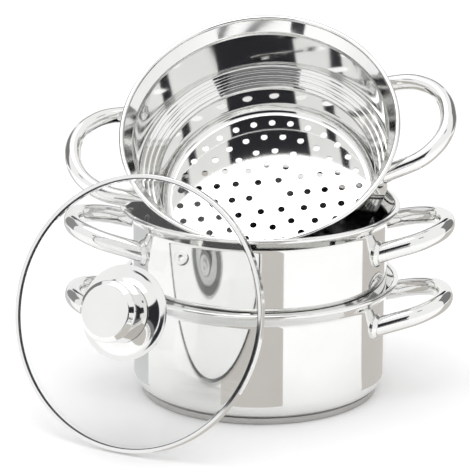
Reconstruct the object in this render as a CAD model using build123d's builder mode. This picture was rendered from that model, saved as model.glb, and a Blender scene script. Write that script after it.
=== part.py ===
from build123d import *
import os
from math import atan2, cos, pi, radians, sin, sqrt, tan

# A stack of stainless steel cookware: a pot, a middle vessel nested in its rim,
# a steamer basket propped in the middle vessel, and a domed glass lid that stands
# on its edge in front. Millimetres, +Z up, the origin under the centre of the pot.
# The handles lie along X and the front faces -Y.

# Sheet metal and rolled rims, the same on all three vessels
sheet = 0.7
wall_radius = 100.5
bead_ring_radius = 108.0
bead_radius = 2.0
flare_height = 10.2
flare_bend = 5.0
nest_gap = 0.3

# Pot
pot_rim_height = 91.4
pot_floor_height = 2.8
pot_corner = 16.0

# Base pressed under the pot
cap_thickness = 0.6
cap_radius = 93.8
cap_height = 5.1
cap_corner = 1.0
core_gap = 0.05

# Middle vessel and basket
middle_rise = 59.8
middle_depth = 95.2
lower_step = 13.5
lower_corner = 8.0
shoulder_bend = 3.0
foot_bend = 3.0
basket_depth = 94.4
basket_wall_height = 52.5

# Floor holes of the basket, in rings
hole_radius = 2.8
ring_count = 5
holes_in_first_ring = 6
first_ring_radius = 16.6
ring_pitch = 14.0

# Where the basket leans: its rim centre from the middle vessel's, its leans and its turn
basket_x = -1.3
basket_y = -6.1
basket_rise = 62.7
basket_lean = 39.8
basket_side_lean = 5.8
basket_turn = 4.3

# Handles, bent from oval tube
tube_half_width = 6.2
tube_half_height = 7.5
tube_wall = 1.2
handle_tip = 147.4
handle_rise = 14.0
handle_drop = 28.5
basket_handle_drop = 22.0
arm_root_x = 83.0
arm_root_y = 44.5
knee_x = 123.5
knee_y = 38.0
tip_half_width = 19.5
knee_bend = 40.0
tip_bend = 36.0

# Cups at the handle ends, and rivets
cup_radius = 10.3
cup_rim = 1.0
cup_height = 3.4
cup_round = 2.2
rivet_head_radius = 6.0
rivet_head_height = 2.4
rivet_shank_radius = 2.5
rivet_hole_gap = 0.1
rivet_reach = 3.5
cup_depth = 4.0

# Lid
lid_radius = 104.6
lid_lean = 17.9
lid_turn = 27.6
lid_x = -92.3
lid_y = -126.0
band_half_height = 3.0
band_width = 3.6
band_wall = 0.9
band_round = 0.8
glass_thickness = 4.0
glass_gap = 0.1
glass_ledge = 3.0
dome_height = 22.0

# Lid knob, its gaskets and its screw
skirt_radius = 35.8
skirt_edge = 1.0
skirt_sweep = 20.0
gasket_thickness = 1.0
gasket_inner = 24.0
gasket_outer = 32.0
neck_radius = 21.3
neck_base = 25.6
neck_top = 27.4
grip_radius = 23.0
grip_height = 19.8
bevel_height = 3.0
bevel_width = 3.4
crown_height = 0.6
grip_edge_round = 0.8
screw_radius = 2.9
screw_gap = 0.1
screw_hole_radius = 4.0
screw_depth = 12.0
screw_head_radius = 5.5
screw_head_height = 3.2
socket_radius = 2.2
socket_depth = 1.8
washer_radius = 10.0
washer_thickness = 1.5
seal_radius = 12.0
seal_thickness = 1.6

# Steam vent in the glass
vent_across = 37.3
vent_up = 46.5
vent_bore = 2.3
vent_wall = 0.8
vent_hole_gap = 0.1
vent_flange_radius = 5.2
vent_flange = 0.9
vent_round = 0.4

# Angles and heights that follow from the sizes above
lower_radius = wall_radius - lower_step
middle_rim_height = pot_rim_height + middle_rise
basket_z = basket_rise + middle_rise + pot_rim_height
bead_reach = bead_ring_radius - wall_radius
flare_tilt = atan2(bead_reach, flare_height)
arc_drop = flare_bend * tan(flare_tilt / 2)
nest_rise = sqrt((flare_bend + sheet + shoulder_bend + nest_gap) ** 2 - (flare_bend + shoulder_bend) ** 2)
shoulder_turn = pi / 4
shoulder_height = (
    pot_rim_height - flare_height - arc_drop + nest_rise - shoulder_bend * tan(shoulder_turn / 2)
)
arm_root = Vector(arm_root_x, arm_root_y)
arm_run = (Vector(knee_x, knee_y) - arm_root).normalized()
arm_start = arm_root.dot(arm_run)
arm_reach = sqrt(wall_radius**2 - arm_root.dot(arm_root) + arm_start**2) - arm_start
cup_place = arm_root + arm_run * arm_reach
cup_angle = atan2(cup_place.Y, cup_place.X)
handle_slope = atan2(handle_rise, handle_tip - cup_place.X)
rivet_crown = (rivet_head_radius**2 + rivet_head_height**2) / (2 * rivet_head_height)


def upright(height):
    """A frame on the stack's axis at a height."""
    return Plane(origin=(0, 0, height), x_dir=(1, 0, 0), z_dir=(0, 0, 1))


def half_section(frame):
    """The plane of a turned profile: radius across, height up."""
    return Plane(origin=frame.origin, x_dir=frame.x_dir, z_dir=-frame.y_dir)


def spin(frame):
    return Axis(frame.origin, frame.z_dir)


def turned_about(frame, side):
    """The same frame, facing the right handle (side 1) or the left one (side -1)."""
    return Plane(origin=frame.origin, x_dir=frame.x_dir * side, z_dir=frame.z_dir)


def sheet_outline(stations):
    """Closed outline of a sheet whose outer face runs through (radius, height, bend)."""
    spots = [Vector(radius, height) for radius, height, bend in stations]
    bends = [bend for radius, height, bend in stations]
    runs = [(after - before).normalized() for before, after in zip(spots, spots[1:])]
    normals = [Vector(-run.Y, run.X) for run in runs]
    inner = [spots[0] + normals[0] * sheet]
    inner_bends = [0]
    for spot, bend, before, after in zip(spots[1:], bends[1:], normals, normals[1:]):
        inner.append(spot + (before + after) * (sheet / (1 + before.dot(after))))
        turn = before.cross(after).Z
        inner_bends.append(max(bend - sheet, 0) if turn > 0 else bend + sheet)
    inner.append(spots[-1] + normals[-1] * sheet)
    inner_bends.append(0)
    return spots + inner[::-1], bends + inner_bends[::-1]


def vessel_face(frame, stations, rim_height):
    """Half section of a vessel: its sheet and the rolled bead on its rim."""
    points, bends = sheet_outline(stations)
    with BuildSketch(half_section(frame)) as section:
        with BuildLine():
            FilletPolyline(*points, radius=bends, close=True)
        make_face()
        with Locations((bead_ring_radius, rim_height)):
            Circle(bead_radius)
    return section.sketch


def rim_stations(rim_height):
    """The top of every vessel: wall, flare, and the end inside the bead."""
    return [
        (wall_radius, rim_height - flare_height, flare_bend),
        (bead_ring_radius + sheet / 2, rim_height, 0),
    ]


def stepped_stations(rim_height, shoulder, floor):
    """A vessel that nests: narrow below, with a sloping shoulder under the wall."""
    return [
        (0, floor, 0),
        (lower_radius, floor, lower_corner),
        (lower_radius, shoulder - lower_step, foot_bend),
        (wall_radius, shoulder, shoulder_bend),
    ] + rim_stations(rim_height)


def cup_frames(frame, height):
    """Radial frames at the four handle roots, named by side, looking out of the wall."""
    places = {}
    for side_name, side in (("right", 1), ("left", -1)):
        for end_name, end in (("rear", 1), ("front", -1)):
            angle = end * side * cup_angle
            out = (frame.x_dir * cos(angle) + frame.y_dir * sin(angle)) * side
            root = frame.origin + out * wall_radius + frame.z_dir * height
            places[f"{end_name}_{side_name}"] = Plane(origin=root, x_dir=frame.z_dir, z_dir=out)
    return places


def handle_path(frame, side, height):
    """Centre line of a handle: two arms and a round tip, in a plane that slopes up."""
    facing = turned_about(frame, side)
    root_height = height - (cup_place.X - arm_root_x) * tan(handle_slope)
    root = facing.origin + facing.x_dir * arm_root_x + facing.z_dir * root_height
    along = facing.x_dir * cos(handle_slope) + facing.z_dir * sin(handle_slope)
    loop = Plane(origin=root, x_dir=along, z_dir=along.cross(facing.y_dir))
    knee = (knee_x - arm_root_x) / cos(handle_slope)
    tip = (handle_tip - arm_root_x) / cos(handle_slope)
    with BuildLine(loop) as path:
        FilletPolyline(
            (0, arm_root_y),
            (knee, knee_y),
            (tip, tip_half_width),
            (tip, -tip_half_width),
            (knee, -knee_y),
            (0, -arm_root_y),
            radius=[knee_bend, tip_bend, tip_bend, knee_bend],
        )
    return path.wire(), loop


def tube_section(path, loop, inset):
    """The oval of the tube, square to the start of its path."""
    start = Plane(origin=path @ 0, x_dir=loop.z_dir.cross(path % 0), z_dir=path % 0)
    with BuildSketch(start) as oval:
        Ellipse(tube_half_width - inset, tube_half_height - inset)
    return oval.sketch


def wall_cylinder(frame, radius, height):
    """A plug that stands for a vessel's wall around a height."""
    with BuildPart() as plug:
        with BuildSketch(frame.offset(height)):
            Circle(radius)
        extrude(amount=wall_radius / 2, both=True)
    return plug.part


def solid_tube(frame, side, height):
    """The handle's tube without its bore, for cutting the cups."""
    path, loop = handle_path(frame, side, height)
    with BuildPart() as tube:
        sweep(tube_section(path, loop, 0), path=path)
    return tube.part


def shank_holes(frame, height):
    """One short plug for each rivet hole in a vessel's wall."""
    with BuildPart() as plugs:
        for place in cup_frames(frame, height).values():
            with BuildSketch(place.offset(-rivet_reach)):
                Circle(rivet_shank_radius + rivet_hole_gap)
            extrude(amount=2 * rivet_reach)
    return plugs.part


def write_handles(name, frame, height):
    """Tubes, cups and rivets of one vessel, each piece in its own file."""
    plug = wall_cylinder(frame, wall_radius, height)
    inside = wall_cylinder(frame, wall_radius - sheet, height)
    for side_name, side in (("right", 1), ("left", -1)):
        path, loop = handle_path(frame, side, height)
        with BuildPart() as handle:
            sweep(tube_section(path, loop, 0), path=path)
            sweep(tube_section(path, loop, tube_wall), path=path, mode=Mode.SUBTRACT)
            add(plug, mode=Mode.SUBTRACT)
        handle.part.label = f"{name}_handle_{side_name}"
        export_step(handle.part, f"parts/{name}_handle_{side_name}.step")
        tube = solid_tube(frame, side, height)
        for place_name, place in cup_frames(frame, height).items():
            if not place_name.endswith(side_name):
                continue
            section = half_section(place)
            with BuildPart() as cup:
                with BuildSketch(section):
                    with BuildLine():
                        FilletPolyline(
                            (0, -cup_depth),
                            (cup_radius, -cup_depth),
                            (cup_radius, cup_rim),
                            (cup_radius - cup_round, cup_height),
                            (0, cup_height),
                            radius=[0, 0, cup_round / 2, cup_round / 2, 0],
                            close=True,
                        )
                    make_face()
                revolve(axis=spin(place))
                add(plug, mode=Mode.SUBTRACT)
                add(tube, mode=Mode.SUBTRACT)
            cup.part.label = f"{name}_cup_{place_name}"
            export_step(cup.part, f"parts/{name}_cup_{place_name}.step")
            with BuildPart() as rivet:
                with BuildSketch(section):
                    with BuildLine():
                        half = rivet_head_radius / 2
                        dome = ThreePointArc(
                            (rivet_head_radius, -sheet),
                            (half, rivet_crown - sheet - rivet_head_height - sqrt(rivet_crown**2 - half**2)),
                            (0, -sheet - rivet_head_height),
                        )
                        Polyline(dome @ 1, (0, 0), (rivet_head_radius, 0), dome @ 0)
                    make_face()
                revolve(axis=spin(place))
                add(inside, mode=Mode.INTERSECT)
                with BuildSketch(place.offset(-sheet - rivet_head_height / 2)):
                    Circle(rivet_shank_radius)
                extrude(amount=rivet_head_height / 2 + sheet + rivet_reach)
            rivet.part.label = f"{name}_rivet_{place_name}"
            export_step(rivet.part, f"parts/{name}_rivet_{place_name}.step")


os.makedirs("parts", exist_ok=True)

# Pot: a plain drum with a round corner, a flared lip and a rolled bead
ground = upright(0)
pot_stations = [
    (0, pot_floor_height, 0),
    (wall_radius, pot_floor_height, pot_corner),
] + rim_stations(pot_rim_height)

with BuildPart() as pot_body:
    revolve(vessel_face(ground, pot_stations, pot_rim_height), axis=spin(ground))
    add(shank_holes(ground, pot_rim_height - handle_drop), mode=Mode.SUBTRACT)
pot_body.part.label = "pot_body"
export_step(pot_body.part, "parts/pot_body.step")

# Solid copy of the pot's outside, which shapes the top of the pressed base
with BuildPart() as pot_outside:
    with BuildSketch(half_section(ground)):
        with BuildLine():
            FilletPolyline(
                (0, pot_floor_height),
                (wall_radius, pot_floor_height),
                (wall_radius, pot_rim_height),
                (0, pot_rim_height),
                radius=[0, pot_corner, 0, 0],
                close=True,
            )
        make_face()
    revolve(axis=spin(ground))

# Base: an aluminium disc and the steel cap that wraps it
with BuildPart() as pot_base_core:
    with BuildSketch(upright(cap_thickness)):
        Circle(cap_radius - cap_thickness)
    extrude(amount=cap_height - cap_thickness)
    add(pot_outside.part, mode=Mode.SUBTRACT)
pot_base_core.part.label = "pot_base_core"
export_step(pot_base_core.part, "parts/pot_base_core.step")

with BuildPart() as pot_base_cap:
    with BuildSketch(half_section(ground)):
        with BuildLine():
            FilletPolyline(
                (0, 0),
                (cap_radius, 0),
                (cap_radius, cap_height),
                (cap_radius - cap_thickness, cap_height),
                (cap_radius - cap_thickness, cap_thickness),
                (0, cap_thickness),
                radius=[0, cap_corner, 0, 0, 0, 0],
                close=True,
            )
        make_face()
    revolve(axis=spin(ground))
pot_base_cap.part.label = "pot_base_cap"
export_step(pot_base_cap.part, "parts/pot_base_cap.step")

write_handles("pot", ground, pot_rim_height - handle_drop)

# Middle vessel: its shoulder rests in the flare of the pot's rim
middle_stations = stepped_stations(
    middle_rim_height, shoulder_height, middle_rim_height - middle_depth - sheet
)
with BuildPart() as middle_body:
    revolve(vessel_face(ground, middle_stations, middle_rim_height), axis=spin(ground))
    add(shank_holes(ground, middle_rim_height - handle_drop), mode=Mode.SUBTRACT)
middle_body.part.label = "middle_body"
export_step(middle_body.part, "parts/middle_body.step")

write_handles("middle", ground, middle_rim_height - handle_drop)

# Steamer basket, in a frame at its rim that leans to the front and a little to the left
lean = radians(basket_lean)
side_lean = radians(basket_side_lean)
basket_up = Vector(-sin(side_lean), -sin(lean) * cos(side_lean), cos(lean) * cos(side_lean))
basket_level = Plane(
    origin=(basket_x, basket_y, basket_z),
    x_dir=Vector(1, 0, 0) - basket_up * basket_up.X,
    z_dir=basket_up,
)
turn = radians(basket_turn)
basket_frame = Plane(
    origin=basket_level.origin,
    x_dir=basket_level.x_dir * cos(turn) + basket_level.y_dir * sin(turn),
    z_dir=basket_up,
)
basket_stations = stepped_stations(0, -basket_wall_height, -basket_depth - sheet)

with BuildPart() as basket_body:
    revolve(vessel_face(basket_frame, basket_stations, 0), axis=spin(basket_frame))
    add(shank_holes(basket_frame, -basket_handle_drop), mode=Mode.SUBTRACT)
    with BuildSketch(basket_frame.offset(-basket_depth)):
        for ring in range(ring_count):
            ring_radius = first_ring_radius + ring * ring_pitch
            with PolarLocations(ring_radius, holes_in_first_ring * (ring + 1)):
                Circle(hole_radius)
    extrude(amount=sheet, both=True, mode=Mode.SUBTRACT)
basket_body.part.label = "basket_body"
export_step(basket_body.part, "parts/basket_body.step")

write_handles("basket", basket_frame, -basket_handle_drop)

# Lid, in a frame at the middle of its rim band: it leans back and turns to the left
lid_tilt = radians(lid_lean)
lid_swing = radians(lid_turn)
lid_out = Vector(-sin(lid_swing) * cos(lid_tilt), -cos(lid_swing) * cos(lid_tilt), sin(lid_tilt))
lid_height = (
    (lid_radius - band_round) * cos(lid_tilt) + (band_half_height - band_round) * sin(lid_tilt) + band_round
)
lid_frame = Plane(
    origin=(lid_x, lid_y, lid_height),
    x_dir=(cos(lid_swing), -sin(lid_swing), 0),
    z_dir=lid_out,
)
lid_axis = spin(lid_frame)

glass_half = glass_thickness / 2
glass_radius = lid_radius - band_wall - glass_gap
dome_radius_in_plan = glass_radius - glass_ledge
dome_rise = dome_height - glass_half
dome_radius = (dome_radius_in_plan**2 + dome_rise**2) / (2 * dome_rise)
dome_centre = dome_height - dome_radius


def dome_at(radius, lift):
    """Height of the glass's outer face, or of a face that much above it."""
    return dome_centre + sqrt((dome_radius + lift) ** 2 - radius**2)


vent_radius = sqrt(vent_across**2 + vent_up**2)
vent_height = dome_at(vent_radius, 0)
vent_out = (
    lid_frame.x_dir * vent_across
    + lid_frame.y_dir * vent_up
    + lid_frame.z_dir * (vent_height - dome_centre)
).normalized()
vent_root = (
    lid_frame.origin
    + lid_frame.x_dir * vent_across
    + lid_frame.y_dir * vent_up
    + lid_frame.z_dir * vent_height
)
vent_frame = Plane(origin=vent_root, x_dir=lid_frame.z_dir.cross(vent_out), z_dir=vent_out)

# Glass: a dome with a flat ledge at its edge, and holes for the screw and the vent
with BuildPart() as lid_glass:
    with BuildSketch(half_section(lid_frame)):
        with BuildLine():
            half_chord = dome_radius_in_plan / 2
            under = dome_at(0, -glass_thickness)
            foot = sqrt((dome_radius - glass_thickness) ** 2 - (-glass_half - dome_centre) ** 2)
            outer = ThreePointArc(
                (0, dome_height), (half_chord, dome_at(half_chord, 0)), (dome_radius_in_plan, glass_half)
            )
            inner = ThreePointArc(
                (0, under), (foot / 2, dome_at(foot / 2, -glass_thickness)), (foot, -glass_half)
            )
            Polyline(outer @ 1, (glass_radius, glass_half), (glass_radius, -glass_half), inner @ 1)
            Line(outer @ 0, inner @ 0)
        make_face()
    revolve(axis=lid_axis)
    with BuildSketch(lid_frame):
        Circle(screw_hole_radius)
    extrude(amount=dome_height + glass_thickness, mode=Mode.SUBTRACT)
    with BuildSketch(vent_frame.offset(-2 * glass_thickness)):
        Circle(vent_bore + vent_wall + vent_hole_gap)
    extrude(amount=3 * glass_thickness, mode=Mode.SUBTRACT)
lid_glass.part.label = "lid_glass"
export_step(lid_glass.part, "parts/lid_glass.step")

# Steel band folded over the edge of the glass
with BuildPart() as lid_band:
    with BuildSketch(half_section(lid_frame)):
        with BuildLine():
            lip = lid_radius - band_width
            slot = glass_half + glass_gap
            FilletPolyline(
                (lip, -band_half_height),
                (lid_radius, -band_half_height),
                (lid_radius, band_half_height),
                (lip, band_half_height),
                (lip, slot),
                (glass_radius + glass_gap, slot),
                (glass_radius + glass_gap, -slot),
                (lip, -slot),
                radius=[0, band_round, band_round, 0, 0, 0, 0, 0],
                close=True,
            )
        make_face()
    revolve(axis=lid_axis)
lid_band.part.label = "lid_band"
export_step(lid_band.part, "parts/lid_band.step")

# Soft ring between the glass and the knob's skirt
with BuildPart() as lid_gasket:
    with BuildSketch(half_section(lid_frame)):
        with BuildLine():
            middle = (gasket_inner + gasket_outer) / 2
            low = ThreePointArc(
                (gasket_inner, dome_at(gasket_inner, 0)),
                (middle, dome_at(middle, 0)),
                (gasket_outer, dome_at(gasket_outer, 0)),
            )
            high = ThreePointArc(
                (gasket_inner, dome_at(gasket_inner, gasket_thickness)),
                (middle, dome_at(middle, gasket_thickness)),
                (gasket_outer, dome_at(gasket_outer, gasket_thickness)),
            )
            Line(low @ 0, high @ 0)
            Line(low @ 1, high @ 1)
        make_face()
    revolve(axis=lid_axis)
lid_gasket.part.label = "lid_gasket"
export_step(lid_gasket.part, "parts/lid_gasket.step")

# Skirt of the knob: a wide foot that sweeps up to a short neck
with BuildPart() as lid_knob_skirt:
    with BuildSketch(half_section(lid_frame)):
        with BuildLine():
            bottom = ThreePointArc(
                (0, dome_at(0, gasket_thickness)),
                (skirt_radius / 2, dome_at(skirt_radius / 2, gasket_thickness)),
                (skirt_radius, dome_at(skirt_radius, gasket_thickness)),
            )
            edge = Line(bottom @ 1, bottom @ 1 + Vector(0, skirt_edge))
            cove = RadiusArc(edge @ 1, (grip_radius, neck_base), -skirt_sweep)
            Polyline(cove @ 1, (neck_radius, neck_base), (neck_radius, neck_top), (0, neck_top), bottom @ 0)
        make_face()
    revolve(axis=lid_axis)
    with BuildSketch(lid_frame):
        Circle(screw_radius + screw_gap)
    extrude(amount=neck_top, mode=Mode.SUBTRACT)
lid_knob_skirt.part.label = "lid_knob_skirt"
export_step(lid_knob_skirt.part, "parts/lid_knob_skirt.step")

# Grip of the knob: a drum with a bevelled, slightly crowned top
with BuildPart() as lid_knob_grip:
    with BuildSketch(half_section(lid_frame)):
        with BuildLine():
            shoulder = neck_top + grip_height
            top = shoulder + bevel_height
            face_radius = grip_radius - bevel_width
            crown = ThreePointArc(
                (face_radius, top),
                (face_radius / 2, top + crown_height * (1 - 1 / 4)),
                (0, top + crown_height),
            )
            Polyline(crown @ 1, (0, neck_top), (grip_radius, neck_top), (grip_radius, shoulder), crown @ 0)
        make_face()
    revolve(axis=lid_axis)
    outer_edges = lid_knob_grip.edges().filter_by(GeomType.CIRCLE).filter_by(
        lambda edge: edge.radius > face_radius - grip_edge_round
    )
    fillet(outer_edges, radius=grip_edge_round)
    with BuildSketch(lid_frame.offset(neck_top)):
        Circle(screw_radius + screw_gap)
    extrude(amount=screw_depth + screw_gap, mode=Mode.SUBTRACT)
lid_knob_grip.part.label = "lid_knob_grip"
export_step(lid_knob_grip.part, "parts/lid_knob_grip.step")

# Under the glass: a soft seal, a washer and the screw that holds the knob
seal_floor = dome_at(seal_radius, -glass_thickness) - seal_thickness

with BuildPart() as lid_seal:
    with BuildSketch(half_section(lid_frame)):
        with BuildLine():
            roof = ThreePointArc(
                (0, dome_at(0, -glass_thickness)),
                (seal_radius / 2, dome_at(seal_radius / 2, -glass_thickness)),
                (seal_radius, dome_at(seal_radius, -glass_thickness)),
            )
            Polyline(roof @ 1, (seal_radius, seal_floor), (0, seal_floor), roof @ 0)
        make_face()
    revolve(axis=lid_axis)
    with BuildSketch(lid_frame):
        Circle(screw_radius + screw_gap)
    extrude(amount=dome_height, mode=Mode.SUBTRACT)
lid_seal.part.label = "lid_seal"
export_step(lid_seal.part, "parts/lid_seal.step")

with BuildPart() as lid_washer:
    with BuildSketch(lid_frame.offset(seal_floor - washer_thickness)):
        Circle(washer_radius)
        Circle(screw_radius + screw_gap, mode=Mode.SUBTRACT)
    extrude(amount=washer_thickness)
lid_washer.part.label = "lid_washer"
export_step(lid_washer.part, "parts/lid_washer.step")

screw_seat = seal_floor - washer_thickness
with BuildPart() as lid_screw:
    with BuildSketch(lid_frame.offset(screw_seat - screw_head_height)):
        Circle(screw_head_radius)
    extrude(amount=screw_head_height)
    with BuildSketch(lid_frame.offset(screw_seat)):
        Circle(screw_radius)
    extrude(amount=neck_top + screw_depth - screw_seat)
    with BuildSketch(lid_frame.offset(screw_seat - screw_head_height)):
        RegularPolygon(radius=socket_radius, side_count=6)
    extrude(amount=socket_depth, mode=Mode.SUBTRACT)
lid_screw.part.label = "lid_screw"
export_step(lid_screw.part, "parts/lid_screw.step")

# Vent: an eyelet rolled over both faces of the glass
with BuildPart() as lid_vent:
    with BuildSketch(half_section(vent_frame)):
        with BuildLine():
            under_face = -glass_thickness - vent_hole_gap
            FilletPolyline(
                (vent_bore, under_face - vent_flange),
                (vent_flange_radius, under_face - vent_flange),
                (vent_flange_radius, under_face),
                (vent_bore + vent_wall, under_face),
                (vent_bore + vent_wall, 0),
                (vent_flange_radius, 0),
                (vent_flange_radius, vent_flange),
                (vent_bore, vent_flange),
                radius=[vent_round, vent_round, 0, 0, 0, 0, vent_round, vent_round],
                close=True,
            )
        make_face()
    revolve(axis=spin(vent_frame))
lid_vent.part.label = "lid_vent"
export_step(lid_vent.part, "parts/lid_vent.step")
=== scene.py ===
from math import atan2, cos, pi, radians, sin, sqrt, tan

import bpy
from mathutils import Matrix, Vector


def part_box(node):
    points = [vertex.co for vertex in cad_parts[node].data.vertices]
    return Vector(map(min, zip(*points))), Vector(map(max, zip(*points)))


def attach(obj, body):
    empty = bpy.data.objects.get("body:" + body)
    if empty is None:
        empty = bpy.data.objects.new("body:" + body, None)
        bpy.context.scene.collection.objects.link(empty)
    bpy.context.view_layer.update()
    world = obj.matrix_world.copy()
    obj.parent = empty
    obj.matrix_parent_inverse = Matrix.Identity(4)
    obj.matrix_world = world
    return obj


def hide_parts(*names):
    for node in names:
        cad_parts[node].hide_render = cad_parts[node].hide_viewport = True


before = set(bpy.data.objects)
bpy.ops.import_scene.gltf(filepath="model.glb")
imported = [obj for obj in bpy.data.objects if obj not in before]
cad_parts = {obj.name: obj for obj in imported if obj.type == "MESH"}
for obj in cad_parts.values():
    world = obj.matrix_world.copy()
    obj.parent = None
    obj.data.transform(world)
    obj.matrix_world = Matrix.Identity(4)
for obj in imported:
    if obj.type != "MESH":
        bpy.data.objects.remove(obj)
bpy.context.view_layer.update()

# Pot body
# Deep-drawn stainless steel with a round bottom corner. The lip flares out and is
# rolled into a bead, and the whole shell is spun on a lathe and mirror-polished.
mm = 0.001
sheet = 0.7 * mm
wall_radius = 100.5 * mm
bead_ring = 108.0 * mm
bead_radius = 2.0 * mm
flare_height = 10.2 * mm
flare_bend = 5.0 * mm
arc_step = radians(6)
turns = 192
point_weld = 0.001 * mm
spin_weld = 0.002 * mm
relief_depth = 0.05 * mm


def rounded_path(stations):
    """Points of an open path through (across, up, bend radius), each bend an arc that meets both runs."""
    spots = [Vector((across, 0, up)) for across, up, bend in stations]
    path = [spots[0]]
    for before, spot, after, station in zip(spots, spots[1:], spots[2:], stations[1:]):
        bend = station[2]
        arriving = (spot - before).normalized()
        leaving = (after - spot).normalized()
        turn = arriving.angle(leaving)
        if bend <= 0 or turn < radians(1):
            path.append(spot)
            continue
        reach = bend * tan(turn / 2)
        inward = (leaving - arriving).normalized()
        middle = spot + inward * bend / cos(turn / 2)
        first = spot - arriving * reach - middle
        axis = first.cross(spot + leaving * reach - middle).normalized()
        steps = max(2, round(turn / arc_step))
        path += [middle + Matrix.Rotation(turn * i / steps, 4, axis) @ first for i in range(steps + 1)]
    return path + [spots[-1]]


def sheet_section(stations):
    """The closed section of a sheet: down its outer face and back along its inner face."""
    spots = [Vector((across, 0, up)) for across, up, bend in stations]
    bends = [bend for across, up, bend in stations]
    runs = [(after - before).normalized() for before, after in zip(spots, spots[1:])]
    sides = [Vector((-run.z, 0, run.x)) for run in runs]
    inner = [(spots[0] + sides[0] * sheet, 0)]
    for spot, bend, before, after in zip(spots[1:], bends[1:], sides, sides[1:]):
        turning_up = before.x * after.z - before.z * after.x > 0
        inner_bend = bend - sheet if turning_up else bend + sheet
        inner.append((spot + (before + after) * sheet / (1 + before.dot(after)), inner_bend))
    inner.append((spots[-1] + sides[-1] * sheet, 0))
    return stations + [(spot.x, spot.z, bend) for spot, bend in inner[::-1]]


def bead_section(height):
    """The rolled rim: a round rod over the end of the flare."""
    steps = 24
    angles = [2 * pi * step / steps for step in range(steps)]
    return [Vector((bead_ring + bead_radius * cos(angle), 0, height + bead_radius * sin(angle)))
            for angle in angles]


def draw(name, path):
    """A new object whose mesh is that path, drawn by extruding one vertex from point to point."""
    bpy.ops.object.select_all(action="DESELECT")
    bpy.ops.mesh.primitive_plane_add(size=mm)
    piece = bpy.context.object
    piece.name = name
    piece.data.name = name
    bpy.ops.object.mode_set(mode="EDIT")
    bpy.ops.mesh.select_mode(type="VERT")
    bpy.ops.mesh.select_all(action="SELECT")
    bpy.ops.mesh.merge(type="CENTER")
    bpy.ops.transform.translate(value=path[0])
    for start, end in zip(path, path[1:]):
        bpy.ops.mesh.extrude_region_move(TRANSFORM_OT_translate={"value": end - start})
    bpy.ops.mesh.select_all(action="SELECT")
    return piece


def finish_shape(piece, crease=radians(35)):
    """Leaves edit mode and gives smooth shading that keeps flat faces flat."""
    bpy.ops.mesh.select_all(action="SELECT")
    bpy.ops.mesh.normals_make_consistent(inside=False)
    bpy.ops.object.mode_set(mode="OBJECT")
    bpy.ops.object.shade_smooth_by_angle(angle=crease)
    weigh = piece.modifiers.new("weigh", "WEIGHTED_NORMAL")
    weigh.keep_sharp = True
    bpy.ops.object.modifier_apply(modifier=weigh.name)


def joined(pieces):
    """Those pieces as one object, under the name of the first."""
    bpy.ops.object.select_all(action="DESELECT")
    for piece in pieces:
        piece.select_set(True)
    bpy.context.view_layer.objects.active = pieces[0]
    if len(pieces) > 1:
        bpy.ops.object.join()
    return pieces[0]


def spun(name, sections, steps=turns):
    """Closed sections spun all the way round +Z."""
    pieces = []
    for section in sections:
        piece = draw(name, section + [section[0]])
        bpy.ops.mesh.remove_doubles(threshold=point_weld)
        bpy.ops.mesh.select_all(action="SELECT")
        bpy.ops.mesh.spin(steps=steps, angle=2 * pi, center=(0, 0, 0), axis=(0, 0, 1))
        bpy.ops.mesh.select_all(action="SELECT")
        bpy.ops.mesh.remove_doubles(threshold=spin_weld)
        bpy.ops.mesh.select_all(action="SELECT")
        bpy.ops.mesh.delete_loose(use_faces=False)
        finish_shape(piece)
        pieces.append(piece)
    return joined(pieces)


def add(nodes, kind, **settings):
    """A new shader node with those settings."""
    node = nodes.new(kind)
    for setting, value in settings.items():
        setattr(node, setting, value)
    return node


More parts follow.
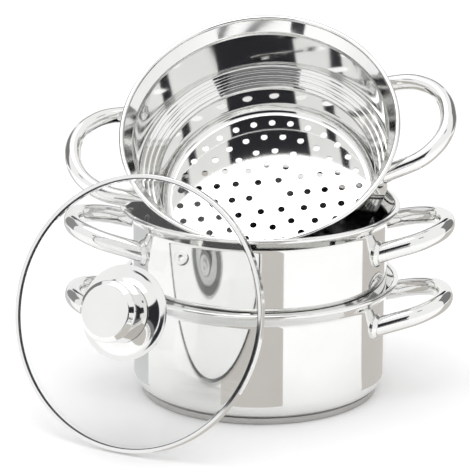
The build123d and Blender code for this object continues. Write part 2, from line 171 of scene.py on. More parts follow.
def polish_group():
    """Marks that a polishing wheel leaves on spun metal: fine rings about Z, and soft smudges."""
    group = bpy.data.node_groups.new("wheel polish", "ShaderNodeTree")
    for label, kind, default in (
        ("Vector", "NodeSocketVector", None),
        ("Ring Density", "NodeSocketFloat", 900),
        ("Roughness", "NodeSocketFloat", 0.08),
        ("Ring Spread", "NodeSocketFloat", 0.03),
        ("Smudge Spread", "NodeSocketFloat", 0.03),
        ("Light Tint", "NodeSocketColor", (0.9, 0.9, 0.9, 1)),
        ("Dark Tint", "NodeSocketColor", (0.8, 0.8, 0.8, 1)),
    ):
        socket = group.interface.new_socket(name=label, in_out="INPUT", socket_type=kind)
        if default is not None:
            socket.default_value = default
    for label, kind in (
        ("Color", "NodeSocketColor"),
        ("Roughness", "NodeSocketFloat"),
        ("Height", "NodeSocketFloat"),
    ):
        group.interface.new_socket(name=label, in_out="OUTPUT", socket_type=kind)
    nodes, links = group.nodes, group.links
    entry = nodes.new("NodeGroupInput")
    leave = nodes.new("NodeGroupOutput")
    flat = add(nodes, "ShaderNodeVectorMath", operation="MULTIPLY")
    flat.inputs[1].default_value = (1, 1, 0)
    links.new(entry.outputs["Vector"], flat.inputs[0])
    radius = add(nodes, "ShaderNodeVectorMath", operation="LENGTH")
    links.new(flat.outputs["Vector"], radius.inputs[0])
    around = add(nodes, "ShaderNodeVectorMath", operation="NORMALIZE")
    links.new(flat.outputs["Vector"], around.inputs[0])
    axes = nodes.new("ShaderNodeSeparateXYZ")
    links.new(entry.outputs["Vector"], axes.inputs["Vector"])
    height = add(nodes, "ShaderNodeMath", operation="MULTIPLY")
    links.new(axes.outputs["Z"], height.inputs[0])
    links.new(entry.outputs["Ring Density"], height.inputs[1])
    climb = nodes.new("ShaderNodeCombineXYZ")
    links.new(height.outputs["Value"], climb.inputs["Z"])
    place = add(nodes, "ShaderNodeVectorMath", operation="MULTIPLY_ADD")
    place.inputs[1].default_value = (2, 2, 2)
    links.new(around.outputs["Vector"], place.inputs[0])
    links.new(climb.outputs["Vector"], place.inputs[2])
    spread = add(nodes, "ShaderNodeMath", operation="MULTIPLY")
    links.new(radius.outputs["Value"], spread.inputs[0])
    links.new(entry.outputs["Ring Density"], spread.inputs[1])
    rings = add(nodes, "ShaderNodeTexNoise", noise_dimensions="4D")
    rings.inputs["Scale"].default_value = 1
    rings.inputs["Detail"].default_value = 3
    links.new(place.outputs["Vector"], rings.inputs["Vector"])
    links.new(spread.outputs["Value"], rings.inputs["W"])
    smudge = nodes.new("ShaderNodeTexNoise")
    smudge.inputs["Scale"].default_value = 28
    smudge.inputs["Detail"].default_value = 4
    links.new(entry.outputs["Vector"], smudge.inputs["Vector"])
    ring_part = add(nodes, "ShaderNodeMath", operation="MULTIPLY_ADD")
    links.new(rings.outputs["Fac"], ring_part.inputs[0])
    links.new(entry.outputs["Ring Spread"], ring_part.inputs[1])
    links.new(entry.outputs["Roughness"], ring_part.inputs[2])
    smudge_part = add(nodes, "ShaderNodeMath", operation="MULTIPLY_ADD")
    links.new(smudge.outputs["Fac"], smudge_part.inputs[0])
    links.new(entry.outputs["Smudge Spread"], smudge_part.inputs[1])
    links.new(ring_part.outputs["Value"], smudge_part.inputs[2])
    links.new(smudge_part.outputs["Value"], leave.inputs["Roughness"])
    links.new(rings.outputs["Fac"], leave.inputs["Height"])
    tint = add(nodes, "ShaderNodeMix", data_type="RGBA")
    links.new(smudge.outputs["Fac"], tint.inputs["Factor"])
    links.new(entry.outputs["Light Tint"], tint.inputs["A"])
    links.new(entry.outputs["Dark Tint"], tint.inputs["B"])
    links.new(tint.outputs["Result"], leave.inputs["Color"])
    return group


wheel_polish = polish_group()


def polished(name, place=Matrix.Identity(4), density=900, rough=0.03, rings=0.02, smudges=0.02,
             bump=0.01, light=(0.90, 0.90, 0.89), dark=(0.81, 0.81, 0.80)):
    """Polished metal whose fine rings run about the Z axis of that place."""
    steel = bpy.data.materials.new(name)
    steel.use_nodes = True
    nodes, links = steel.node_tree.nodes, steel.node_tree.links
    shader = nodes["Principled BSDF"]
    shader.inputs["Metallic"].default_value = 1
    where = nodes.new("ShaderNodeTexCoord")
    centred = add(nodes, "ShaderNodeMapping", vector_type="TEXTURE")
    centred.inputs["Location"].default_value = place.to_translation()
    centred.inputs["Rotation"].default_value = place.to_euler()
    links.new(where.outputs["Object"], centred.inputs["Vector"])
    marks = add(nodes, "ShaderNodeGroup", node_tree=wheel_polish)
    marks.inputs["Ring Density"].default_value = density
    marks.inputs["Roughness"].default_value = rough
    marks.inputs["Ring Spread"].default_value = rings
    marks.inputs["Smudge Spread"].default_value = smudges
    marks.inputs["Light Tint"].default_value = (*light, 1)
    marks.inputs["Dark Tint"].default_value = (*dark, 1)
    links.new(centred.outputs["Vector"], marks.inputs["Vector"])
    links.new(marks.outputs["Color"], shader.inputs["Base Color"])
    links.new(marks.outputs["Roughness"], shader.inputs["Roughness"])
    relief = nodes.new("ShaderNodeBump")
    relief.inputs["Strength"].default_value = bump
    relief.inputs["Distance"].default_value = relief_depth
    links.new(marks.outputs["Height"], relief.inputs["Height"])
    links.new(relief.outputs["Normal"], shader.inputs["Normal"])
    return steel


def dress(piece, material, body, slot, *nodes):
    """Gives a finished piece its material, its body and the CAD nodes that it stands for."""
    piece.data.materials.clear()
    piece.data.materials.append(material)
    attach(piece, body)
    if nodes:
        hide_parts(*nodes)


def lip(height):
    """The top of every vessel: wall, flare, and the end inside the bead."""
    return [(wall_radius, height - flare_height, flare_bend), (bead_ring + sheet / 2, height, 0)]


def line_inside_with_painted_shade(piece, material, rim):
    """Gives the inner faces of a vessel, up to the bend of its flare, a second finish: rougher satin steel
    whose darker colour is painted shade inside the vessel.
    """
    inward_share = 0.2
    upward_share = 0.5
    piece.data.materials.append(material)
    for face in piece.data.polygons:
        out = Vector((face.center.x, face.center.y, 0)).normalized()
        faces_axis = face.normal.dot(out) < -inward_share
        faces_up = face.normal.z > upward_share and face.center.xy.length < wall_radius
        if face.center.z < rim - flare_height / 2 and (faces_axis or faces_up):
            face.material_index = 1


pot_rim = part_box("pot_body")[1].z - bead_radius
pot_steel = polished("pot steel")
# The insides get rougher satin steel, and its darker colour is painted shade inside the vessels.
satin_shaded_inside_steel = polished("satin inside steel with painted shade", rough=0.14, rings=0.12, bump=0.05,
                        light=(0.36, 0.36, 0.37), dark=(0.25, 0.25, 0.26))
pot_floor = 2.8 * mm
pot_corner = 16 * mm
pot_outline = sheet_section([(0, pot_floor, 0), (wall_radius, pot_floor, pot_corner)] + lip(pot_rim))
pot_shell = spun("pot_shell", [rounded_path(pot_outline), bead_section(pot_rim)])
dress(pot_shell, pot_steel, "pot", "polished_steel", "pot_body")
line_inside_with_painted_shade(pot_shell, satin_shaded_inside_steel, pot_rim)

# Base of the pot
# A thin steel cap is pressed round an aluminium disc and brazed under the pot. Its face
# is turned on a lathe, which leaves fine rings.
cap_radius = 93.8 * mm
cap_height = 5.1 * mm
cap_sheet = 0.6 * mm
cap_corner = 1.0 * mm
base_cap = spun("base_cap", [rounded_path([
    (0, 0, 0),
    (cap_radius, 0, cap_corner),
    (cap_radius, cap_height, 0),
    (cap_radius - cap_sheet, cap_height, 0),
    (cap_radius - cap_sheet, cap_sheet, cap_corner - cap_sheet),
    (0, cap_sheet, 0),
])])
base_steel = polished("base steel", density=1400, rough=0.12, rings=0.10, bump=0.06,
                      light=(0.55, 0.54, 0.53), dark=(0.42, 0.41, 0.40))
dress(base_cap, base_steel, "pot", "base_steel", "pot_base_cap")

# Middle vessel
# The same drum with a narrower lower half, so that its sloping shoulder sits in the
# flare of the pot. It is drawn from one sheet and polished like the pot.
lower_radius = 87.0 * mm
lower_corner = 8.0 * mm
shoulder_bend = 3.0 * mm
ridge_lift = 0.8 * mm
middle_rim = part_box("middle_body")[1].z - bead_radius
middle_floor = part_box("middle_body")[0].z


def stepped(rim, shoulder, floor, ridges=0):
    """Outline of a vessel that nests: narrow below, with a shoulder that slopes and may be ridged."""
    step = wall_radius - lower_radius
    low = Vector((lower_radius, shoulder - step))
    along = Vector((1, 1)).normalized()
    inward = Vector((-1, 1)).normalized()
    slope = step * sqrt(2)
    ridged = []
    for ridge in range(ridges):
        middle = slope * (ridge + 1) / (ridges + 1)
        for reach, lift in [(-2, 0), (-1, 1), (1, 1), (2, 0)]:
            spot = low + along * (middle + reach * ridge_lift) + inward * lift * ridge_lift
            ridged.append((spot.x, spot.y, 0))
    return sheet_section([
        (0, floor, 0),
        (lower_radius, floor, lower_corner),
        (lower_radius, shoulder - step, shoulder_bend),
    ] + ridged + [(wall_radius, shoulder, shoulder_bend)] + lip(rim))


middle_shoulder = 82.6 * mm
middle_outline = stepped(middle_rim, middle_shoulder, middle_floor)
middle_shell = spun("middle_shell", [rounded_path(middle_outline), bead_section(middle_rim)])
middle_steel = polished("middle steel", smudges=0.04)
dress(middle_shell, middle_steel, "middle_vessel", "polished_steel", "middle_body")
line_inside_with_painted_shade(middle_shell, satin_shaded_inside_steel, middle_rim)

# Steamer basket
# A shallower stepped drum with ridges round its shoulder and five rings of punched
# holes in its floor. It is propped in the middle vessel and leans to the front.
basket_depth = 94.4 * mm
basket_wall = 52.5 * mm
basket_ridges = 3
hole_radius = 2.8 * mm
hole_sides = 20
hole_rings = 5
first_count = 6
first_ring = 16.6 * mm
ring_pitch = 14.0 * mm
punch_length = 4 * sheet
basket_spot = Vector((-1.3, -6.1, 213.9)) * mm
lean = radians(39.8)
side_lean = radians(5.8)
turn = radians(4.3)
basket_up = Vector((-sin(side_lean), -sin(lean) * cos(side_lean), cos(lean) * cos(side_lean)))
level = (Vector((1, 0, 0)) - basket_up * basket_up.x).normalized()
across = level * cos(turn) + basket_up.cross(level) * sin(turn)


def turned_to(x, y, z):
    """The turn that carries X, Y and Z to those three directions."""
    return Matrix((x, y, z)).transposed().to_4x4()


basket_turn = turned_to(across, basket_up.cross(across), basket_up)
basket_place = Matrix.Translation(basket_spot) @ basket_turn


def settle(piece, place):
    """Puts a piece that was modelled about the origin in its place, by moving its mesh."""
    bpy.ops.object.select_all(action="DESELECT")
    piece.select_set(True)
    bpy.context.view_layer.objects.active = piece
    piece.matrix_world = place
    bpy.ops.object.transform_apply(location=True, rotation=True, scale=True)
    return piece


def hole_at(spot):
    """A cylinder through the basket's floor at that spot."""
    bpy.ops.mesh.primitive_cylinder_add(
        vertices=hole_sides, radius=hole_radius, depth=punch_length, location=spot)


def hole_punch():
    """All the cylinders in one object, whose origin is the world's."""
    bpy.ops.object.select_all(action="DESELECT")
    start = Vector((first_ring, 0, -basket_depth))
    hole_at(start)
    punch = bpy.context.object
    settle(punch, punch.matrix_world.copy())
    bpy.ops.object.mode_set(mode="EDIT")
    bpy.ops.mesh.select_all(action="SELECT")
    bpy.ops.mesh.delete(type="VERT")
    for ring in range(hole_rings):
        count = first_count * (ring + 1)
        reach = start + Vector((ring * ring_pitch, 0, 0))
        for step in range(count):
            hole_at(Matrix.Rotation(2 * pi * step / count, 3, "Z") @ reach)
    bpy.ops.object.mode_set(mode="OBJECT")
    return punch


def cut_away(piece, tool, solver):
    """Cuts the shape of a tool out of a closed piece and shades the piece again."""
    bpy.context.view_layer.objects.active = piece
    cut = piece.modifiers.new("cut", "BOOLEAN")
    cut.object = tool
    cut.solver = solver
    bpy.ops.object.modifier_apply(modifier=cut.name)
    bpy.data.objects.remove(tool)
    bpy.ops.object.select_all(action="DESELECT")
    piece.select_set(True)
    bpy.ops.object.mode_set(mode="EDIT")
    finish_shape(piece)


basket_outline = stepped(0, -basket_wall, -basket_depth - sheet, basket_ridges)
basket_shell = spun("basket_shell", [rounded_path(basket_outline)])
cut_away(basket_shell, hole_punch(), "MANIFOLD")
joined([basket_shell, spun("basket_bead", [bead_section(0)])])
settle(basket_shell, basket_place)
basket_steel = polished("basket steel", basket_place, smudges=0.05)
dress(basket_shell, basket_steel, "basket", "polished_steel", "basket_body")

# Loop handles
# Each is one length of oval tube, bent into two arms and a round tip, and it slopes up
# from the wall to its tip. The round cups hide its ends, so only its outside is drawn.
tube_half_width = 6.2 * mm
tube_half_height = 7.5 * mm
tube_sides = 48
bend_step = radians(3)
handle_tip = 147.4 * mm
handle_rise = 14.0 * mm
handle_drop = 28.5 * mm
basket_handle_drop = 22.0 * mm
arm_root = Vector((83.0, 44.5, 0)) * mm
knee = Vector((123.5, 38.0, 0)) * mm
tip_half_width = 19.5 * mm
knee_bend = 40.0 * mm
tip_bend = 36.0 * mm
arm_run = (knee - arm_root).normalized()
arm_start = arm_root.dot(arm_run)
cup_reach = sqrt(wall_radius ** 2 - arm_root.length_squared + arm_start ** 2) - arm_start
cup_spot = arm_root + arm_run * cup_reach
cup_angle = atan2(cup_spot.y, cup_spot.x)
slope = atan2(handle_rise, handle_tip - cup_spot.x)


def on_loop(spot):
    """A point of the handle's plan, lifted onto its sloping plane."""
    return Vector((spot.x, spot.y, (spot.x - cup_spot.x) * tan(slope)))


half_loop = [arm_root, knee, Vector((handle_tip, tip_half_width, 0))]
other_half = [Vector((spot.x, -spot.y, 0)) for spot in half_loop[::-1]]
corners = [on_loop(spot) for spot in half_loop + other_half]
bends = [0, knee_bend, tip_bend, tip_bend, knee_bend, 0]
loop_up = Vector((-sin(slope), 0, cos(slope)))
along = (corners[1] - corners[0]).normalized()
bpy.ops.object.select_all(action="DESELECT")
bpy.ops.mesh.primitive_circle_add(vertices=tube_sides, radius=1)
tube = bpy.context.object
tube.name = "handle"
oval_place = Matrix.Translation(corners[0]) @ turned_to(loop_up.cross(along), loop_up, along)
settle(tube, oval_place @ Matrix.Diagonal((tube_half_width, tube_half_height, 1, 1)))
bpy.ops.object.mode_set(mode="EDIT")
bpy.ops.mesh.select_all(action="SELECT")
here = corners[0]
for before, corner, after, bend in zip(corners, corners[1:], corners[2:], bends[1:]):
    arriving = (corner - before).normalized()
    leaving = (after - corner).normalized()
    turning = arriving.angle(leaving)
    reach = bend * tan(turning / 2)
    bpy.ops.mesh.extrude_region_move(TRANSFORM_OT_translate={"value": corner - arriving * reach - here})
    middle = corner - arriving * reach + (loop_up.cross(arriving) * -bend)
    bpy.ops.mesh.spin(steps=round(turning / bend_step), angle=turning, center=middle, axis=loop_up)
    here = corner + leaving * reach
bpy.ops.mesh.extrude_region_move(TRANSFORM_OT_translate={"value": corners[-1] - here})
seat_depth = 0.4 * mm
for side in (1, -1):
    outward = Vector((cos(cup_angle), side * sin(cup_angle), 0))
    bpy.ops.mesh.select_mode(type="FACE")
    bpy.ops.mesh.select_all(action="DESELECT")
    bpy.ops.object.mode_set(mode="OBJECT")
    for face in tube.data.polygons:
        face.select = face.center.x < knee.x - knee_bend / 2 and face.center.y * side > 0
    bpy.ops.object.mode_set(mode="EDIT")
    bpy.ops.mesh.bisect(
        plane_co=outward * (wall_radius - seat_depth), plane_no=outward, use_fill=True, clear_inner=True)
finish_shape(tube, crease=radians(60))

vessels = (
    ("pot", "pot", Matrix.Translation((0, 0, pot_rim - handle_drop)), Matrix.Identity(4)),
    ("middle", "middle_vessel", Matrix.Translation((0, 0, middle_rim - handle_drop)), Matrix.Identity(4)),
    ("basket", "basket", basket_place @ Matrix.Translation((0, 0, -basket_handle_drop)), basket_place),
)


def copied(model, name, place):
    """A copy of a modelled piece, with its own mesh, settled in its place."""
    twin = model.copy()
    twin.data = model.data.copy()
    twin.name = name
    twin.data.name = name
    bpy.context.scene.collection.objects.link(twin)
    return settle(twin, place)


for vessel, body, place, vessel_place in vessels:
    tube_steel = polished(f"{vessel} handle steel", vessel_place, density=500, rough=0.04,
                          rings=0.03, smudges=0.03)
    for side, half_turn in (("right", 0), ("left", pi)):
        loop = copied(tube, f"{vessel}_loop_{side}", place @ Matrix.Rotation(half_turn, 4, "Z"))
        dress(loop, tube_steel, body, "polished_steel", f"{vessel}_handle_{side}")
bpy.data.objects.remove(tube)

# Cups at the handle ends
# Pressed steel discs with a rounded rim and a low collar, brazed to the tube and
# riveted through the vessel's wall.
cup_radius = 10.3 * mm
cup_edge = 1.0 * mm
cup_rise = 3.4 * mm
cup_slant = 2.2 * mm
cup_foot = -seat_depth - 0.2 * mm
cup = spun("cup", [rounded_path([
    (0, cup_foot, 0),
    (cup_radius, cup_foot, 0),
    (cup_radius, cup_edge, cup_edge),
    (cup_radius - cup_slant, cup_rise, cup_slant / 2),
    (0, cup_rise, 0),
])], steps=64)


def at_wall(side, end):
    """Where a cup or a rivet stands: on the wall, its Z axis pointing out."""
    angle = side * end * cup_angle + (0 if side > 0 else pi)
    at_angle = Matrix.Rotation(angle, 4, "Z") @ Matrix.Translation((wall_radius, 0, 0))
    return at_angle @ Matrix.Rotation(pi / 2, 4, "Y")


handle_ends = [(f"{end_name}_{side_name}", side, end)
               for side_name, side in (("right", 1), ("left", -1))
               for end_name, end in (("rear", 1), ("front", -1))]
for vessel, body, place, vessel_place in vessels:
    cup_steel = polished(f"{vessel} cup steel", vessel_place, density=700, rough=0.08,
                         rings=0.05, smudges=0.04, bump=0.03)
    for end_name, side, end in handle_ends:
        disc = copied(cup, f"{vessel}_flange_{end_name}", place @ at_wall(side, end))
        dress(disc, cup_steel, body, "polished_steel", f"{vessel}_cup_{end_name}")
bpy.data.objects.remove(cup)

# Rivets
# Steel rivets through each wall hold the cups. Their low domed heads are on the inside
# of the wall, two behind each handle.
rivet_radius = 6.0 * mm
rivet_rise = 2.4 * mm
rivet_crown = (rivet_radius ** 2 + rivet_rise ** 2) / (2 * rivet_rise)
rivet_edge = 0.2 * mm
dome_steps = 8
dome = []
for step in range(dome_steps):
    reach = rivet_radius * step / dome_steps
    dome.append((reach, rivet_crown - rivet_rise - sqrt(rivet_crown ** 2 - reach ** 2) - sheet, 0))
rivet = spun("rivet", [rounded_path(dome + [
    (rivet_radius, -sheet - rivet_edge, rivet_edge),
    (rivet_radius, -sheet + rivet_edge, 0),
    (0, -sheet + rivet_edge, 0),
])], steps=48)
for vessel, body, place, vessel_place in vessels:
    rivet_steel = polished(f"{vessel} rivet steel", vessel_place, density=700, rough=0.14,
                           rings=0.08, smudges=0.05, bump=0.04)
    for end_name, side, end in handle_ends:
        stud = copied(rivet, f"{vessel}_stud_{end_name}", place @ at_wall(side, end))
        dress(stud, rivet_steel, body, "fastener_steel", f"{vessel}_rivet_{end_name}")
bpy.data.objects.remove(rivet)

# Lid glass
# A pressed dome of clear tempered glass with a flat ledge at its edge. It leans back on
# its edge in front of the stack, turned to the left.
lid_lean = radians(17.9)
lid_turn = radians(27.6)
lid_low, lid_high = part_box("lid_band")
lid_out = Vector((-sin(lid_turn) * cos(lid_lean), -cos(lid_turn) * cos(lid_lean), sin(lid_lean)))
lid_across = Vector((cos(lid_turn), -sin(lid_turn), 0))
lid_middle = Matrix.Translation((lid_low + lid_high) / 2)
lid_place = lid_middle @ turned_to(lid_across, lid_out.cross(lid_across), lid_out)
lid_radius = 104.6 * mm
band_sheet = 0.9 * mm
band_gap = 0.1 * mm
glass_half = 2.0 * mm
glass_edge = lid_radius - band_sheet - band_gap
ledge = 3.0 * mm
dome_reach = glass_edge - ledge
dome_height = 22.0 * mm
dome_rise = dome_height - glass_half
dome_radius = (dome_reach ** 2 + dome_rise ** 2) / (2 * dome_rise)
dome_centre = dome_height - dome_radius
screw_hole = 4.0 * mm


def dome_at(across, lift=0):
    """Height of the glass's outer face, or of a face that much above it."""
    return dome_centre + sqrt((dome_radius + lift) ** 2 - across ** 2)


def dome_run(start, end, lift, steps=24):
    """Stations along the dome from one radius to another."""
    spots = [start + (end - start) * step / steps for step in range(steps + 1)]
    return [(across, dome_at(across, lift), 0) for across in spots]


inner_reach = sqrt((dome_radius - 2 * glass_half) ** 2 - (-glass_half - dome_centre) ** 2)
outer_face = dome_run(screw_hole, dome_reach, 0)
inner_face = dome_run(inner_reach, screw_hole, -2 * glass_half)
ledge_bend = 4.0 * mm
outer_face[-1] = (dome_reach, glass_half, ledge_bend)
inner_face[0] = (inner_reach, -glass_half, ledge_bend)
edge_round = 0.6 * mm
glass = spun("glass_dome", [rounded_path(outer_face + [
    (glass_edge, glass_half, edge_round),
    (glass_edge, -glass_half, edge_round),
] + inner_face)])

vent_spot = Vector((37.3, 46.5, 0)) * mm
vent_spot.z = dome_at(vent_spot.length)
vent_out = (vent_spot - Vector((0, 0, dome_centre))).normalized()
vent_place = Matrix.Translation(vent_spot) @ vent_out.to_track_quat("Z", "Y").to_matrix().to_4x4()
vent_bore = 2.3 * mm
vent_sheet = 0.8 * mm
vent_sides = 40
drill_length = 6 * glass_half
bpy.ops.object.select_all(action="DESELECT")
bpy.ops.mesh.primitive_cylinder_add(
    vertices=vent_sides, radius=vent_bore + vent_sheet, depth=drill_length)
cut_away(glass, settle(bpy.context.object, vent_place), "EXACT")
settle(glass, lid_place)


def clear_glass(name, tint):
    """Clear glass with faint smears, which lets light through where it casts a shadow."""
    clear = bpy.data.materials.new(name)
    clear.use_nodes = True
    nodes, links = clear.node_tree.nodes, clear.node_tree.links
    shader = nodes["Principled BSDF"]
    shader.inputs["Base Color"].default_value = (*tint, 1)
    shader.inputs["Transmission Weight"].default_value = 1
    shader.inputs["IOR"].default_value = 1.5
    where = nodes.new("ShaderNodeTexCoord")
    smear = nodes.new("ShaderNodeTexNoise")
    smear.inputs["Scale"].default_value = 22
    smear.inputs["Detail"].default_value = 5
    links.new(where.outputs["Object"], smear.inputs["Vector"])
    faint = nodes.new("ShaderNodeMapRange")
    faint.inputs["From Min"].default_value = 0.45
    faint.inputs["From Max"].default_value = 0.8
    faint.inputs["To Max"].default_value = 0.05
    links.new(smear.outputs["Fac"], faint.inputs["Value"])
    links.new(faint.outputs["Result"], shader.inputs["Roughness"])
    shade = nodes.new("ShaderNodeBsdfTransparent")
    shade.inputs["Color"].default_value = (0.86, 0.88, 0.88, 1)
    rays = nodes.new("ShaderNodeLightPath")
    blend = nodes.new("ShaderNodeMixShader")
    links.new(rays.outputs["Is Shadow Ray"], blend.inputs["Fac"])
    links.new(shader.outputs["BSDF"], blend.inputs[1])
    links.new(shade.outputs["BSDF"], blend.inputs[2])
    links.new(blend.outputs["Shader"], nodes["Material Output"].inputs["Surface"])
    return clear


dress(glass, clear_glass("lid glass", (0.94, 0.945, 0.94)), "lid", "glass", "lid_glass")

# Lid band
# A strip of steel folded over the edge of the glass and closed by pressing. Its inner
# edge is painted darker than the rest, as in the photograph: painted shade in the crease.
band_half = 3.0 * mm
band_width = 3.6 * mm
band_round = 0.8 * mm
fold_round = 0.7 * mm
slot = glass_half + band_gap
groove = glass_edge + band_gap
lip_across = lid_radius - band_width
band = spun("edge_band", [rounded_path([
    (lip_across, -band_half, fold_round),
    (lid_radius, -band_half, band_round),
    (lid_radius, band_half, band_round),
    (lip_across, band_half, fold_round),
    (lip_across, slot, 0),
    (groove, slot, 0),
    (groove, -slot, 0),
    (lip_across, -slot, 0),
])])
# Faces along the band's inner edge, which get the painted shade.
shaded_fold = [face.index for face in band.data.polygons if face.center.xy.length < lip_across + fold_round]
settle(band, lid_place)
lid_steel = polished("lid steel", lid_place, rough=0.05, rings=0.04, smudges=0.03)
# Near-black steel: painted shade in the crease along the band's inner edge.
crease_shade_steel = polished("crease shade steel", lid_place, rough=0.15,
                      light=(0.10, 0.10, 0.11), dark=(0.07, 0.07, 0.08))
dress(band, lid_steel, "lid", "polished_steel", "lid_band")
band.data.materials.append(crease_shade_steel)
for index in shaded_fold:
    band.data.polygons[index].material_index = 1

# Knob
# Two spun steel parts: a wide foot that sweeps up to a short neck, and a round grip with
# a bevelled top. A screw from under the glass draws them onto a silicone ring.
gasket_lift = 1.0 * mm
skirt_radius = 35.8 * mm
skirt_edge = 1.0 * mm
skirt_round = 0.3 * mm
skirt_sweep = 20.0 * mm
neck_radius = 21.3 * mm
neck_base = 25.6 * mm
neck_top = 27.4 * mm
grip_radius = 23.0 * mm
grip_height = 19.8 * mm
bevel_height = 3.0 * mm
bevel_width = 3.4 * mm
crown_height = 0.6 * mm
grip_round = 0.8 * mm
skirt_low = dome_at(skirt_radius, gasket_lift)
cove_start = Vector((skirt_radius, 0, skirt_low + skirt_edge))
cove_end = Vector((grip_radius, 0, neck_base))
chord = cove_end - cove_start
chord_side = Vector((chord.z, 0, -chord.x)).normalized()
chord_gap = sqrt(skirt_sweep ** 2 - chord.length_squared / 4)
cove_middle = (cove_start + cove_end) / 2 + chord_side * chord_gap
cove_steps = 10
cove_turn = 2 * atan2(chord.length / 2, chord_gap)
cove = []
for step in range(cove_steps + 1):
    spoke = Matrix.Rotation(cove_turn * step / cove_steps, 3, "Y") @ (cove_start - cove_middle)
    cove.append(((cove_middle + spoke).x, (cove_middle + spoke).z, 0))
skirt_under = dome_run(0, skirt_radius, gasket_lift, steps=12)[:-1]
skirt = spun("knob_foot", [rounded_path(skirt_under + [
    (skirt_radius, skirt_low, skirt_round),
] + cove + [
    (neck_radius, neck_base, skirt_round),
    (neck_radius, neck_top, 0),
    (0, neck_top, 0),
])], steps=128)
settle(skirt, lid_place)
knob_steel = polished("knob steel", lid_place, density=1200, rough=0.04, rings=0.05, smudges=0.03)
dress(skirt, knob_steel, "lid", "polished_steel", "lid_knob_skirt")
grip_shoulder = neck_top + grip_height
grip_top = grip_shoulder + bevel_height
grip_face = grip_radius - bevel_width
grip = spun("knob_cap", [rounded_path([
    (0, neck_top, 0),
    (grip_radius, neck_top, grip_round),
    (grip_radius, grip_shoulder, grip_round * 2),
    (grip_face, grip_top, grip_round * 2),
    (grip_face / 2, grip_top + crown_height * 3 / 4, grip_radius),
    (0, grip_top + crown_height, 0),
])], steps=128)
settle(grip, lid_place)
dress(grip, knob_steel, "lid", "polished_steel", "lid_knob_grip")

# Silicone ring and seal
# A ring of soft grey silicone lies between the glass and the knob, and a seal of the
# same silicone lies under the glass, round the screw.
gasket_inner = 24.0 * mm
gasket_outer = 32.0 * mm
seal_radius = 12.0 * mm
seal_thickness = 1.6 * mm
seal_edge = 0.4 * mm
seal_floor = dome_at(seal_radius, -2 * glass_half) - seal_thickness
ring_under = dome_run(gasket_inner, gasket_outer, 0, steps=6)
ring_over = dome_run(gasket_outer, gasket_inner, gasket_lift, steps=6)
ring = spun("silicone_ring", [rounded_path(ring_under + ring_over)], steps=96)
settle(ring, lid_place)
screw_radius = 2.9 * mm
seal_top = dome_run(seal_radius, screw_radius, -2 * glass_half, steps=6)
under_seal = spun("silicone_seal", [rounded_path([
    (screw_radius, seal_floor, 0),
    (seal_radius, seal_floor, seal_edge),
] + seal_top)], steps=64)
settle(under_seal, lid_place)


def silicone(name, colour):
    """Matt silicone with a fine moulded grain."""
    soft = bpy.data.materials.new(name)
    soft.use_nodes = True
    nodes, links = soft.node_tree.nodes, soft.node_tree.links
    shader = nodes["Principled BSDF"]
    where = nodes.new("ShaderNodeTexCoord")
    grain = nodes.new("ShaderNodeTexNoise")
    grain.inputs["Scale"].default_value = 900
    grain.inputs["Detail"].default_value = 3
    links.new(where.outputs["Object"], grain.inputs["Vector"])
    tone = add(nodes, "ShaderNodeMix", data_type="RGBA")
    tone.inputs["A"].default_value = (*[part * 0.9 for part in colour], 1)
    tone.inputs["B"].default_value = (*colour, 1)
    links.new(grain.outputs["Fac"], tone.inputs["Factor"])
    links.new(tone.outputs["Result"], shader.inputs["Base Color"])
    dull = nodes.new("ShaderNodeMapRange")
    dull.inputs["To Min"].default_value = 0.5
    dull.inputs["To Max"].default_value = 0.7
    links.new(grain.outputs["Fac"], dull.inputs["Value"])
    links.new(dull.outputs["Result"], shader.inputs["Roughness"])
    relief = nodes.new("ShaderNodeBump")
    relief.inputs["Strength"].default_value = 0.2
    relief.inputs["Distance"].default_value = relief_depth
    links.new(grain.outputs["Fac"], relief.inputs["Height"])
    links.new(relief.outputs["Normal"], shader.inputs["Normal"])
    return soft


grey_silicone = silicone("grey silicone", (0.42, 0.42, 0.41))
dress(ring, grey_silicone, "lid", "seal", "lid_gasket")
dress(under_seal, grey_silicone, "lid", "seal", "lid_seal")

# Steam vent
# A steel eyelet in the glass, rolled over both of its faces. Steam leaves through its
# bore when the lid is on.
vent_flange = 5.2 * mm
vent_lip = 0.9 * mm
vent_round = 0.4 * mm
vent_gap = 0.1 * mm
vent_crease = 0.2 * mm
vent_under = -2 * glass_half - vent_gap
eyelet = spun("vent_eyelet", [rounded_path([
    (vent_bore, vent_under - vent_lip, 0),
    (vent_flange, vent_under - vent_lip, vent_round),
    (vent_flange, vent_under, vent_crease),
    (vent_bore + vent_sheet, vent_under, 0),
    (vent_bore + vent_sheet, 0, 0),
    (vent_flange, 0, vent_crease),
    (vent_flange, vent_lip, vent_round),
    (vent_bore, vent_lip, vent_round),
])], steps=48)
settle(eyelet, lid_place @ vent_place)
dress(eyelet, lid_steel, "lid", "polished_steel", "lid_vent")

# Washer, screw and base core
# Small plain parts that keep their modelled shape: a pressed washer, a machine screw
# with a hexagon socket, and the aluminium disc inside the base.
bolt_steel = polished("bolt steel", lid_place, density=1500, rough=0.2, rings=0.1, bump=0.1)
core_metal = polished("base aluminium", density=1500, rough=0.3, rings=0.15, bump=0.1,
                      light=(0.8, 0.8, 0.81), dark=(0.7, 0.7, 0.71))
for name, metal in (
    ("lid_washer", bolt_steel),
    ("lid_screw", bolt_steel),
    ("pot_base_core", core_metal),
):
    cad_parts[name].data.materials.clear()
    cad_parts[name].data.materials.append(metal)

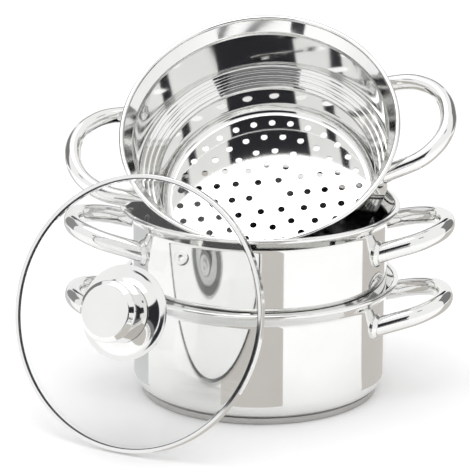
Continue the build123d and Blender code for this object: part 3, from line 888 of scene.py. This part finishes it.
# Table and studio
# A plain white table top under a large soft light, in a white room. Cards that only
# show in reflections stand for the darker things that a real room has.
table_size = 12
table_lift = 0.07
bpy.ops.object.select_all(action="DESELECT")
bpy.ops.mesh.primitive_plane_add(size=table_size)
table = bpy.context.object
table.name = "table"
paper = bpy.data.materials.new("table white")
paper.use_nodes = True
paper_shader = paper.node_tree.nodes["Principled BSDF"]
paper_shader.inputs["Base Color"].default_value = (0.97, 0.97, 0.97, 1)
paper_shader.inputs["Roughness"].default_value = 0.9
paper_shader.inputs["Specular IOR Level"].default_value = 0.1
table.data.materials.append(paper)


def clean_rays(nodes, links):
    """One for camera, glossy and clear rays, nought for the rest."""
    ray = nodes.new("ShaderNodeLightPath")
    first = add(nodes, "ShaderNodeMath", operation="ADD")
    links.new(ray.outputs["Is Camera Ray"], first.inputs[0])
    links.new(ray.outputs["Is Glossy Ray"], first.inputs[1])
    clean = add(nodes, "ShaderNodeMath", operation="ADD", use_clamp=True)
    links.new(first.outputs["Value"], clean.inputs[0])
    links.new(ray.outputs["Is Transmission Ray"], clean.inputs[1])
    return clean.outputs["Value"]


nodes, links = paper.node_tree.nodes, paper.node_tree.links
lift = add(nodes, "ShaderNodeMath", operation="MULTIPLY")
lift.inputs[1].default_value = table_lift
links.new(clean_rays(nodes, links), lift.inputs[0])
paper_shader.inputs["Emission Color"].default_value = (1, 1, 1, 1)
links.new(lift.outputs["Value"], paper_shader.inputs["Emission Strength"])

room = bpy.data.worlds.new("room")
bpy.context.scene.world = room
room.use_nodes = True
room.node_tree.nodes["Background"].inputs["Color"].default_value = (1, 1, 1, 1)


def card(name, shade, *corners):
    """A studio card of four corners that only shows in reflections."""
    bpy.ops.object.select_all(action="DESELECT")
    bpy.ops.mesh.primitive_plane_add(size=1)
    flag = bpy.context.object
    flag.name = name
    for vertex, corner in zip(flag.data.vertices, corners):
        vertex.co = corner
    felt = bpy.data.materials.new(name)
    felt.use_nodes = True
    nodes, links = felt.node_tree.nodes, felt.node_tree.links
    nodes.remove(nodes["Principled BSDF"])
    glow = nodes.new("ShaderNodeEmission")
    glow.inputs["Color"].default_value = (*shade, 1)
    links.new(glow.outputs["Emission"], nodes["Material Output"].inputs["Surface"])
    flag.data.materials.append(felt)
    flag.visible_camera = False
    flag.visible_diffuse = False
    flag.visible_transmission = False
    flag.visible_shadow = False


def standing_card(name, shade, left, right, low, high):
    """A card that stands upright over a line, between two heights."""
    card(name, shade, (*left, low), (*right, low), (*left, high), (*right, high))


def lying_card(name, shade, *corners):
    """A card that lies just above the table."""
    card(name, shade, *[(*corner, near_table) for corner in corners])


black = (0.025, 0.025, 0.03)
dark_grey = (0.07, 0.07, 0.07)
mid_grey = (0.22, 0.22, 0.22)
cool_grey = (0.66, 0.67, 0.68)
warm_grey = (0.62, 0.59, 0.56)
near_table = 0.0005
standing_card("card front", black, (-1.36, -2.6), (0.82, -2.6), 0.35, 1.75)
standing_card("card low", mid_grey, (-1.6, -2.6), (1.1, -2.6), 0.0, 0.35)
for step, (start, end) in enumerate([(-1.5, -1.3), (-1.12, -1.02), (-0.86, -0.80)]):
    lying_card(f"card floor {step + 1}", dark_grey, (-0.5, start), (0.45, start), (-0.5, end), (0.45, end))
standing_card("card knob left", black, (-0.227, -0.391), (-0.29, -0.344), 0.11, 0.19)
standing_card("card knob right", black, (0.08, -0.62), (0.27, -0.52), 0.24, 0.40)
standing_card("card high left", black, (-1.90, -1.25), (-1.50, -1.5), 1.25, 1.6)
standing_card("card high right", black, (1.15, -1.4), (1.48, -1.15), 1.7, 2.1)
card("card above", black, (-1.2, 2.0, 1.3), (1.2, 2.0, 1.3), (-1.2, 1.9, 2.0), (1.2, 1.9, 2.0))
lying_card("card behind", warm_grey, (-1.1, 0.55), (1.1, 0.55), (-1.6, 1.5), (1.6, 1.5))
standing_card("card left", mid_grey, (-1.3, 0.2), (-0.9, 1.1), 0.05, 1.25)
standing_card("card right", mid_grey, (1.3, 0.2), (0.9, 1.1), 0.05, 1.25)
lying_card("card near", warm_grey, (-0.045, -0.118), (0.028, -0.125), (-0.38, -0.60), (0.21, -0.60))
lying_card("card beside", warm_grey, (0.11, -0.05), (0.95, 0.17), (0.11, 0.005), (0.476, 0.79))
lying_card("card beside left", cool_grey,
           (-0.113, -0.035), (-0.69, 0.30), (-0.109, 0.01), (-0.338, 0.64))

lamp_aim = Vector((0, 0, 0.1))
bpy.ops.object.select_all(action="DESELECT")
bpy.ops.object.light_add(type="AREA", location=(-0.4, -0.3, 1.8))
lamp = bpy.context.object
lamp.name = "soft light"
lamp.data.shape = "RECTANGLE"
lamp.data.size = 1.6
lamp.data.size_y = 1.0
lamp.data.energy = 7
lamp.rotation_euler = (lamp_aim - lamp.location).to_track_quat("-Z", "Y").to_euler()

# Camera
# It stands a little over two metres in front of the stack and looks down on it, as in
# the photograph, and it leans sideways by a fraction of a degree.
look_at = Vector((-0.01956, 0, 0.1226))
distance = 2.2
pitch = radians(16.53)
roll = radians(0.29)
image_width = 470
sensor_width = 36
focal_pixels = 2786.56
forward = Vector((0, cos(pitch), -sin(pitch)))
upward = Vector((0, sin(pitch), cos(pitch)))
rightward = Vector((1, 0, 0)) * cos(roll) + upward * sin(roll)
overhead = rightward.cross(forward)
camera_data = bpy.data.cameras.new("camera")
camera_data.sensor_fit = "HORIZONTAL"
camera_data.sensor_width = sensor_width
camera_data.lens = sensor_width * focal_pixels / image_width
camera_data.clip_end = 50
camera = bpy.data.objects.new("camera", camera_data)
bpy.context.scene.collection.objects.link(camera)
camera_spot = Matrix.Translation(look_at - forward * distance)
camera.matrix_world = camera_spot @ turned_to(rightward, overhead, -forward)
bpy.context.scene.camera = camera
bpy.context.scene.view_settings.view_transform = "Standard"
